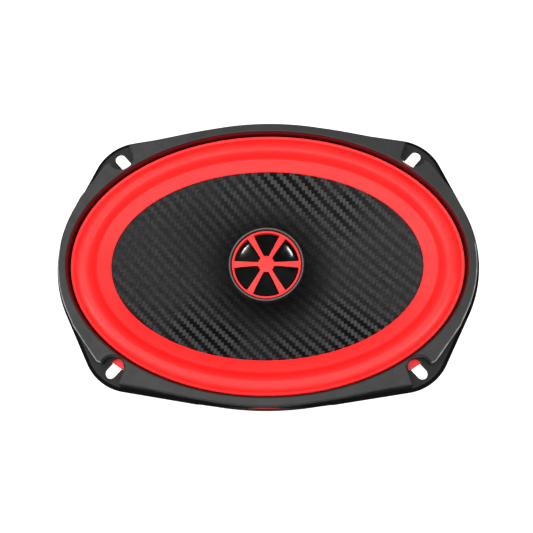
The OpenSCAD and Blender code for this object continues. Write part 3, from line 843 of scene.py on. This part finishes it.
def basket():
    """Pressed steel: a bowl of six legs under the flange, with a deep cup for the motor seat."""
    upper = [
        (16.5, 16.5, SEAT_Z + SHEET), (38.4, 38.4, SEAT_Z + SHEET), (39.6, 39.6, SHELF_Z - 2),
        (41.2, 41.2, SHELF_Z), (48.4, 47.4, SHELF_Z), (60, 52, -30), (84, 59.5, -18), (98.5, 64.5, -8),
        (101, 66, 0), (103.6, 68, FLANGE_TOP), (116.6, 80, FLANGE_TOP),
    ]
    lower = [
        (116.6, 80, GASKET_T), (104.4, 68.8, GASKET_T), (102.1, 67.1, -0.6), (99.5, 65.5, -8.6),
        (84.9, 60.4, -18.9), (60.9, 52.9, -30.9), (49.6, 48.6, SHELF_Z - SHEET), (42, 42, SHELF_Z - SHEET),
        (40.8, 40.8, SHELF_Z - 2.5), (39.6, 39.6, SEAT_Z), (16.5, 16.5, SEAT_Z),
    ]
    soft = [0.2, 2.5, 1.5, 1.2, 3, 6, 8, 4, 2, 1.5, 0.4]
    profile = rounded(upper + lower, soft + soft[::-1], 4)
    # Extra rings on the bowl's long slopes carry the pressed beads
    fine = []
    for i, p in enumerate(profile):
        q = profile[(i + 1) % len(profile)]
        parts = max(1, int(np.linalg.norm(q - p) / 3.0))
        fine += [p + (q - p) * k / parts for k in range(parts)]
    count = 480
    angles = np.arange(count) * 2 * math.pi / count
    rings = []
    for a, b, z in fine:
        x, y = a * np.cos(angles), b * np.sin(angles)
        reach = smoothstep((z - WINDOW[0] + 1) / 4) * smoothstep((WINDOW[1] + 4 - z) / 4)
        push = np.zeros(count)
        for leg in LEGS:
            c, s = math.cos(math.radians(leg)), math.sin(math.radians(leg))
            along, across = x * c + y * s, -x * s + y * c
            near = np.where(along > 0, np.clip(1 - np.abs(across) / 4.5, 0, 1), 0)
            push = np.maximum(push, 1.3 * smoothstep(near))
        push = push * reach if z < 0 else push * 0
        grow = 1 + push / np.hypot(x, y)
        rings.append(np.column_stack([x * grow, y * grow, z - 0.4 * push]))
    body = loft("basket_pressing", rings)
    for first, second in zip(LEGS, LEGS[1:] + [LEGS[0] + 360]):
        window_cutter(body, first, second)
    rivet_circle, rivet_r = 30, 2.0
    for k in range(4):
        a = math.radians(45 + 90 * k)
        hole = circle(rivet_circle * math.cos(a), rivet_circle * math.sin(a), rivet_r, 24)
        combine(body, prism("cut", hole, SEAT_Z - 1, SEAT_Z + 3))
    combine(body, prism("cut", rectangle(-17.1, 48.4, 17.1, 66.6), SHELF_Z, SHELF_Z + 1.7))
    tab = rounded(rectangle(-19, 44.6, 19, 57), [0, 0, 3, 3], 5)
    plate = prism("basket_tab", tab, SHELF_Z - SHEET + 0.01, SHELF_Z - 0.01)
    soften(plate, 0.2)
    apply_modifiers(plate)
    soften(body, 0.22, 2, 40)
    piece(body, "basket_paint", "basket")
    piece(plate, "basket_paint")


def window_cutter(body, first, second):
    """Cuts the gap between two legs, with rounded corners, from just above the shelf to the rim."""
    half = LEG_WIDTH / 2
    a, b = math.radians(first), math.radians(second)
    da, db = np.array([math.cos(a), math.sin(a)]), np.array([math.cos(b), math.sin(b)])
    na, nb = np.array([-da[1], da[0]]), np.array([db[1], -db[0]])
    # The two legs' facing edges meet at the wedge's inner point
    m = np.column_stack([da, -db])
    t = np.linalg.solve(m, nb * half - na * half)
    apex = na * half + da * t[0]
    far = 170.0
    wedge = [apex, na * half + da * far, nb * half + db * far]
    if (b - a) > math.radians(70):
        wedge.insert(2, unit(da + db) * far * 1.4)
    bm = bmesh.new()
    low, high = [[bm.verts.new(Vector((*p, z)) * MM) for p in wedge] for z in WINDOW]
    bm.faces.new(low[::-1])
    bm.faces.new(high)
    n = len(wedge)
    for i in range(n):
        j = (i + 1) % n
        bm.faces.new((low[i], low[j], high[j], high[i]))
    ridges = [e for e in bm.edges if {low[0], high[0]} & set(e.verts)]
    bmesh.ops.bevel(bm, geom=ridges, offset=5.5 * MM, segments=6, profile=0.5, affect="EDGES")
    mesh = bpy.data.meshes.new("window")
    bm.to_mesh(mesh)
    bm.free()
    tidy_mesh(mesh)
    combine(body, show("window", mesh))


# ---- surround, cone and spider

SURROUND = (109.3, 73.8)
CONE = (87.3, 54.1)
CONE_EDGE = 1.3
CONE_NECK = -30.0
FORMER_R = 12.9
CONE_RIM = 95.3
ROLL = (108.7, 95.4)
ROLL_MIDDLE = 101.0
ROLL_TOP = 9.3
SKIN = 0.8
GLUE = 0.3
NARROWING = (SURROUND[1] - CONE[1]) / (SURROUND[0] - CONE[0])
AROUND = 320


def surround_b(a):
    return SURROUND[1] - (SURROUND[0] - a) * NARROWING


def rim_z(a):
    return CONE_EDGE + GLUE + SKIN + (a - CONE[0]) * 0.28


def roll_z(a):
    """The surround's upper face: an arched roll, led into the flange and the band by small fillets."""
    if a > ROLL_MIDDLE:
        level, foot, power, fillet = LEDGE_TOP + 1.2, ROLL[0], 2.2, 0.35
    else:
        level, foot, power, fillet = rim_z(a), ROLL[1], 1.9, 1.1
    foot_level = LEDGE_TOP + 1.2 if a > ROLL_MIDDLE else rim_z(ROLL[1])
    share = (a - ROLL_MIDDLE) / (foot - ROLL_MIDDLE)
    arch = ROLL_TOP - (ROLL_TOP - foot_level) * share ** power
    lean = min(1.0, max(0.0, 0.5 + 0.5 * (arch - level) / fillet))
    return level + (arch - level) * lean + fillet * lean * (1 - lean)


def surround():
    """A rubber roll between the ring's shelf and the cone's rim, an even skin thick all round."""
    stations = list(np.linspace(SURROUND[0] - 0.4, ROLL[1] - 2.4, 49))
    step = 0.02
    top = [(SURROUND[0], LEDGE_TOP + 1.2)]
    low = [(SURROUND[0], LEDGE_TOP + 0.02)]
    for a in stations:
        slope = (roll_z(a + step) - roll_z(a - step)) / (2 * step)
        top.append((a, roll_z(a)))
        low.append((a, max(roll_z(a) - SKIN * math.hypot(1, slope), rim_z(a) - SKIN)))
    top.append((CONE[0], rim_z(CONE[0])))
    low.append((CONE[0], rim_z(CONE[0]) - SKIN))
    radii = [0.25] + [0] * len(stations) + [0.25]
    profile = rounded(top + low[::-1], radii + radii[::-1], 3)
    obj = loft("surround_roll", oval_rings([(a, surround_b(a), z) for a, z in profile], AROUND))
    piece(obj, "surround_rubber", "surround", body=None)
    co = points_mm(obj)
    # The oval each point lies on gives how far it is from the outer flange to the cone's rim
    lo, hi = np.full(len(co), 80.0), np.full(len(co), 112.0)
    for _ in range(30):
        mid = (lo + hi) / 2
        inside = (co[:, 0] / mid) ** 2 + (co[:, 1] / surround_b(mid)) ** 2 < 1
        hi = np.where(inside, mid, hi)
        lo = np.where(inside, lo, mid)
    bend_with_cone(obj)


def cone():
    """A curved oval cone, pressed from one sheet, down to a round neck on the coil former."""
    steps = 30
    thickness = 0.9
    neck = FORMER_R + 0.1

    def at(share):
        a = neck + (CONE[0] - neck) * share
        b = FORMER_R + (a - FORMER_R) * (CONE[1] - FORMER_R) / (CONE[0] - FORMER_R)
        return a, max(neck, b), CONE_NECK + (CONE_EDGE - CONE_NECK) * share ** 0.92

    top = [(CONE_RIM, surround_b(CONE_RIM), rim_z(CONE_RIM) - SKIN - GLUE)]
    top += [at(i / steps) for i in range(steps, -1, -1)]
    low = [(a, b, z - thickness) for a, b, z in reversed(top)]
    obj = loft("cone_shell", oval_rings(rounded(top + low, 0.2, 2), AROUND))
    piece(obj, "cone_fibre", "cone", "cone_assembly")


def spider():
    """The corrugated cloth ring that centres the coil."""
    t = 0.45
    start, wave, waves, height = 15.5, 4.8, 5, 1.2
    end = start + wave * waves
    middle = SHELF_Z + 0.5
    radii = [FORMER_R + 0.3, 14.4] + list(np.linspace(start, end, waves * 14 + 1)) + [41, 42, 45, 47]

    def lift(r):
        return height * math.sin(2 * math.pi * (r - start) / wave) if start < r < end else 0.0

    top = [(r, middle + lift(r)) for r in radii]
    low = [(r, middle - t + lift(r)) for r in reversed(radii)]
    obj = lathe("spider_disc", top + low, 192)
    piece(obj, "spider_cloth", "spider", body=None)
    co = points_mm(obj)
    bend_with_cone(obj)


# ---- tweeter

BEZEL_TOP = 3.0
HOUSING_TOP = BEZEL_TOP - 2.5
GUARD_BOTTOM = BEZEL_TOP - 6.9


def tweeter_bezel():
    corners = [
        (19.8, HOUSING_TOP), (20.5, HOUSING_TOP), (20.5, HOUSING_TOP - 3.5), (21.2, HOUSING_TOP - 3.5),
        (21.4, BEZEL_TOP - 0.8), (20.9, BEZEL_TOP), (20.2, BEZEL_TOP), (19.8, BEZEL_TOP - 0.5),
    ]
    obj = lathe("tweeter_bezel_ring", rounded(corners, [0.05, 0.05, 0.1, 0.2, 0.5, 0.3, 0.3, 0.2], 3), 160)
    even_shading(obj)
    piece(obj, "bezel_paint", "tweeter_bezel")


def tweeter_dome():
    """A shallow dome of film, part of a ball, with a flat flange round it."""
    apex, edge, dome_r, flange_r = BEZEL_TOP - 1.9, BEZEL_TOP - 3.6, 16.4, 17.6
    film, steps = 0.4, 22
    rise = apex - edge
    ball = (dome_r ** 2 + rise ** 2) / (2 * rise)
    upper = [(r, apex - ball + math.sqrt(ball ** 2 - r * r)) for r in np.linspace(0, dome_r, steps)]
    upper.append((flange_r, edge))
    low = [(r, z - film) for r, z in reversed(upper)]
    radii = [0] * (steps - 1) + [0.3, 0.1]
    obj = lathe("tweeter_dome_film", rounded(upper + low, radii + radii[::-1], 2), 128)
    piece(obj, "dome_film", "tweeter_diaphragm", "tweeter_dome")


def tweeter_housing():
    floor = BEZEL_TOP - 19
    yoke_floor = BEZEL_TOP - 15
    corners = [
        (4, floor), (17.5, floor), (19.4, floor + 2), (20.4, HOUSING_TOP), (19.6, HOUSING_TOP),
        (19.6, GUARD_BOTTOM), (15.05, GUARD_BOTTOM), (15.05, yoke_floor), (13.6, yoke_floor),
        (13.6, floor + 2), (4, floor + 2),
    ]
    obj = lathe("tweeter_housing_cup", rounded(corners, [0.2, 1.5, 1.5, 0.15, 0.15] + [0] * 5 + [0.2], 4))
    even_shading(obj)
    piece(obj, "housing_plastic", "tweeter_housing")


def tweeter_guard():
    """A red ring with six flared, domed vanes and a small boss, all in one moulding."""
    top, bottom, inner = BEZEL_TOP - 1.3, GUARD_BOTTOM, 18.2
    crown, vane_t, reach = BEZEL_TOP - 1, 0.9, inner + 0.9

    def vane_z(x, y):
        return crown - 1.4 * (math.hypot(x, y) / (inner + 0.6)) ** 2

    ring = rounded([(inner, bottom), (19.4, bottom), (19.4, top), (inner, top)], [0.2, 0.2, 0.45, 0.45], 4)
    guard = lathe("tweeter_guard_moulding", ring, 160)
    for k in range(6):
        a = math.radians(60 * k)
        c, s = math.cos(a), math.sin(a)
        rings = []
        for x in np.linspace(2.5, reach, 16):
            half = 1.0 + (x / reach) ** 2
            under, over = [], []
            for y in np.linspace(-half, half, 7):
                px, py = x * c - y * s, x * s + y * c
                under.append((px, py, vane_z(px, py)))
                over.append((px, py, vane_z(px, py) + vane_t))
            rings.append(under[::-1] + over)
        combine(guard, loft("vane", rings, closed=False), "UNION")
    corners = [
        (0, crown - 0.02), (4.6, crown - 0.1), (4.6, crown + vane_t - 0.15), (3.8, crown + vane_t + 0.03),
        (0, crown + vane_t + 0.08),
    ]
    combine(guard, lathe("boss", rounded(corners, [0, 0.1, 0.3, 0.6, 0], 3), 64), "UNION")
    soften(guard, 0.14, 2, 38, 0.01)
    piece(guard, "guard_plastic", "tweeter_guard")


# ---- motor, terminals and wiring

BOOT_R = 48.5


def magnet_boot():
    """A moulded rubber cover round the magnet, ribbed on its side and stepped on its back."""
    rear, lip, lip_r = FLOOR_Z, -50.0, 42.0
    lip_under = -52.8
    cavity_r, cavity_floor = 45.2, -75.2
    step = 0.6
    back = [(0, rear + 0.9), (9.4, rear + 0.9), (10.2, rear)]
    for r in (17.2, 39.2):
        back += [(r, rear), (r + step, rear + step), (r + 2.2, rear + step), (r + 2.2 + step, rear)]
    back += [(46.4, rear), (BOOT_R, rear + 2.1)]
    ribs = []
    groove_r = BOOT_R - 0.55
    for k in range(5):
        z = -70.5 + 3.6 * k
        ribs += [(BOOT_R, z - 0.9), (groove_r, z - 0.45), (groove_r, z + 0.45), (BOOT_R, z + 0.9)]
    front = [
        (BOOT_R, lip - 1.2), (BOOT_R - 1.2, lip), (lip_r, lip), (lip_r, lip_under), (cavity_r, lip_under),
        (cavity_r, cavity_floor), (0, cavity_floor),
    ]
    radii = [0, 0.3, 0.3] + [0.25, 0.2, 0.2, 0.25] * 2 + [1.0, 1.4]
    radii += [0.2] * len(ribs) + [0.6, 0.6, 0.4, 0, 0, 0, 0]
    boot = lathe("magnet_boot_cover", rounded(back + ribs + front, radii, 2), 160)
    wire_channel = rectangle(-2.6, 30, 2.6, 47.6)
    combine(boot, prism("cut", wire_channel, -77.6, -49))
    soften(boot, 0.12, 1, 50, 0.01)
    piece(boot, "boot_rubber", "magnet_boot")


CAP_HALF = 11.0
CAP_R = 5.0
CAP_PLACE = (0.0, 53.0, -41.05)


def capacitor():
    """A rolled film capacitor in a shrunk sleeve, with its end seals showing."""
    half, r = CAP_HALF, CAP_R
    end = [(0, half), (1.2, half), (3.6, half - 0.35), (4.2, half), (r - 0.4, half - 0.1), (r, half - 1.2)]
    radii = [0, 0.4, 0.4, 0.2, 0.3, 0.6]
    profile = [(x, -z) for x, z in end] + [(r - 0.06, 0)] + end[::-1]
    obj = lathe("capacitor_sleeve", rounded(profile, radii + [0] + radii[::-1], 3), 64)
    obj.data.transform(Matrix.Translation(Vector(CAP_PLACE) * MM) @ Matrix.Rotation(math.pi / 2, 4, "Y"))
    even_shading(obj)
    piece(obj, "capacitor_sleeve", "crossover_capacitor")


def capacitor_leads():
    """One lead bends up to the terminals, and the other runs back to a tweeter wire."""
    half, z = CAP_HALF, CAP_PLACE[2]
    right = [
        (half, 53, z), (half + 1.5, 53, z), (half + 2.6, 53.6, -40.4), (half + 3, 55.4, -39.2),
        (half + 2.6, 57.6, -38), (half + 1.4, 59.6, -36.8), (half - 0.4, 61, -36),
    ]
    left = [
        (-half, 53, z), (-half - 1.5, 53, z), (-half - 2.8, 52.4, -41.4), (-half - 2.6, 51, -42.6),
        (-half - 1.2, 49.6, -43.6), (-half + 1, 48, -43.9),
    ]
    piece(tube("capacitor_lead_right", right, 0.4, 10), "tinned_wire", "capacitor_leads")
    piece(tube("capacitor_lead_left", left, 0.4, 10), "tinned_wire")


def tinsel_lead(name, side, node):
    """From the terminal board to the cone, in two slack bends."""
    route = [
        (8, 51.5, -30.8), (7.9, 49, -30), (7.8, 46.5, -28.8), (7.6, 44, -28.2), (7.4, 41, -28.4),
        (7.2, 38, -29), (7, 35, -29.2), (6.8, 32.4, -28.4), (6.6, 30.4, -26.8), (6.4, 29, -24.8),
        (6.2, 28, -22.6),
    ]
    obj = tube(name, [(side * x, y, z) for x, y, z in route], 0.6)
    piece(obj, "tinsel_braid", node, body=None)
    y = points_mm(obj)[:, 1]
    bend_with_cone(obj)


def tweeter_wire(name, side, node):
    """From the tweeter down through its post, under the magnet and up beside it towards the capacitor."""
    down = [
        (10, -13.1), (7, -13.1), (4, -13.1), (2.2, -13.2), (0.9, -13.7), (0.1, -15), (0, -17), (0, -25),
        (0, -40), (0, -55), (0, -68), (0, -72.4), (0.4, -74.4), (2, -76), (4.4, -76.4), (8, -76.4),
        (20, -76.4), (32, -76.4), (42, -76.4), (44.8, -75.8), (46.2, -74), (46.4, -71.5), (46.4, -64),
        (46.4, -56), (46.4, -50),
    ]
    apart = [(1.6, 46.8, -47.5), (4, 47.4, -45.4), (6.4, 47.6, -44.8), (9, 48, -44.6)]
    route = [(side, y, z) for y, z in down] + [(side * x, y, z) for x, y, z in apart]
    piece(tube(name, route, 0.6), "wire_jacket", node)


def wires():
    """Two of each. The right one names the CAD node that the pair stands for."""
    capacitor_leads()
    tinsel_lead("tinsel_lead_right", 1, "tinsel_leads")
    tweeter_wire("tweeter_wire_right", 1, "tweeter_wires")
    tinsel_lead("tinsel_lead_left", -1, None)
    tweeter_wire("tweeter_wire_left", -1, None)


def finish_cad_nodes():
    """Every CAD node that stays on show gets its own material, merged points and small rounded edges."""
    slots = {p["node"]: p["material_slot"] for p in frame["record"]["subparts"]}
    for name, obj in cad.items():
        if obj.hide_render:
            continue
        obj.data.materials.clear()
        obj.data.materials.append(LOOKS[slots[name]])
        weld = obj.modifiers.new("weld", "WELD")
        weld.merge_threshold = 1e-5
        round_edges(obj, 0.18, 2, 40)
        for face in obj.data.polygons:
            face.use_smooth = True
        even_shading(obj)


mounting_ring()
mounting_gasket()
basket()
surround()
cone()
spider()
tweeter_bezel()
tweeter_guard()
tweeter_dome()
tweeter_housing()
magnet_boot()
wires()
capacitor()
finish_cad_nodes()


# ---- floor, light and camera

def studio():
    half, hair = 6.0, 0.05
    mesh = bpy.data.meshes.new("studio_floor")
    z = (FLOOR_Z - hair) * MM
    mesh.from_pydata([(x, y, z) for x, y in rectangle(-half, -half, half, half)], [], [(0, 1, 2, 3)])
    floor = show("studio_floor", mesh)
    floor.data.materials.append(floor_look())

    world = bpy.data.worlds.new("studio_world")
    world.use_nodes = True
    tree = world.node_tree
    tree.nodes.clear()
    # The room lights the speaker softly, and looks as pale as the floor where the camera sees it
    glow, wall = [tree.nodes.new("ShaderNodeBackground") for _ in range(2)]
    glow.inputs["Strength"].default_value = 0.45
    wall.inputs["Strength"].default_value = 0.95
    for background in (glow, wall):
        background.inputs["Color"].default_value = (1, 1, 1, 1)
    either = tree.nodes.new("ShaderNodeMixShader")
    tree.links.new(tree.nodes.new("ShaderNodeLightPath").outputs["Is Camera Ray"], either.inputs[0])
    tree.links.new(glow.outputs[0], either.inputs[1])
    tree.links.new(wall.outputs[0], either.inputs[2])
    tree.links.new(either.outputs[0], tree.nodes.new("ShaderNodeOutputWorld").inputs[0])
    bpy.context.scene.world = world

    def panel(name, direction, distance, width, height, radiance, roll=0.0):
        """A soft light that faces the speaker, given by how bright its own surface is."""
        data = bpy.data.lights.new(name, "AREA")
        data.shape = "RECTANGLE"
        data.size, data.size_y = width, height
        data.energy = radiance * math.pi * width * height
        lamp = show(name, data)
        away = Vector(direction).normalized()
        lamp.matrix_world = (
            Matrix.Translation(away * distance) @ away.to_track_quat("Z", "Y").to_matrix().to_4x4()
            @ Matrix.Rotation(roll, 4, "Z")
        )
        return lamp

    overhead = panel("overhead", (-0.13, -0.2, 1.0), 1.5, 2.3, 1.7, 3.2)
    all_but_floor = bpy.data.collections.new("all_but_floor")
    all_but_floor.objects.link(floor)
    all_but_floor.collection_objects[0].light_linking.link_state = "EXCLUDE"
    overhead.light_linking.receiver_collection = all_but_floor
    panel("back_left", (-0.36, 0.45, 0.82), 1.3, 0.28, 0.10, 14.0, math.radians(17))
    panel("back_right", (0.28, 0.44, 0.85), 1.3, 0.28, 0.10, 14.0, math.radians(-26))
    # Narrow strips that each light one glossy piece alone
    for target, direction, width, height, radiance, roll in (
        ("tweeter_dome_film", (-0.362, 0.474, 0.803), 0.20, 0.045, 1400.0, 17),
        ("tweeter_dome_film", (0.297, 0.445, 0.845), 0.20, 0.045, 1400.0, -26),
        ("surround_roll", (0.585, -0.206, 0.785), 0.45, 0.08, 40.0, 0),
        ("surround_roll", (-0.684, -0.133, 0.717), 0.45, 0.08, 40.0, 0),
    ):
        strip = panel("strip_light", direction, 1.3, width, height, radiance, math.radians(roll))
        alone = bpy.data.collections.new("lit_alone")
        alone.objects.link(bpy.data.objects[target])
        strip.light_linking.receiver_collection = alone


def camera():
    data = bpy.data.cameras.new("photo_camera")
    data.lens = 64.66
    data.sensor_width = 36.0
    data.shift_x = 0.0020
    data.shift_y = -0.0129
    data.clip_start = 0.01
    data.clip_end = 20.0
    cam = show("photo_camera", data)
    right = Vector((0.99887, 0.00766, -0.04699))
    up = Vector((0.00371, 0.97143, 0.23731))
    back = right.cross(up).normalized()
    place = Vector((24.90, -124.43, 521.66)) * MM
    turn = Matrix((right, up, back)).transposed().to_4x4()
    cam.matrix_world = Matrix.Translation(place) @ turn
    bpy.context.scene.camera = cam


studio()
camera()
bpy.context.scene.view_settings.view_transform = "Standard"
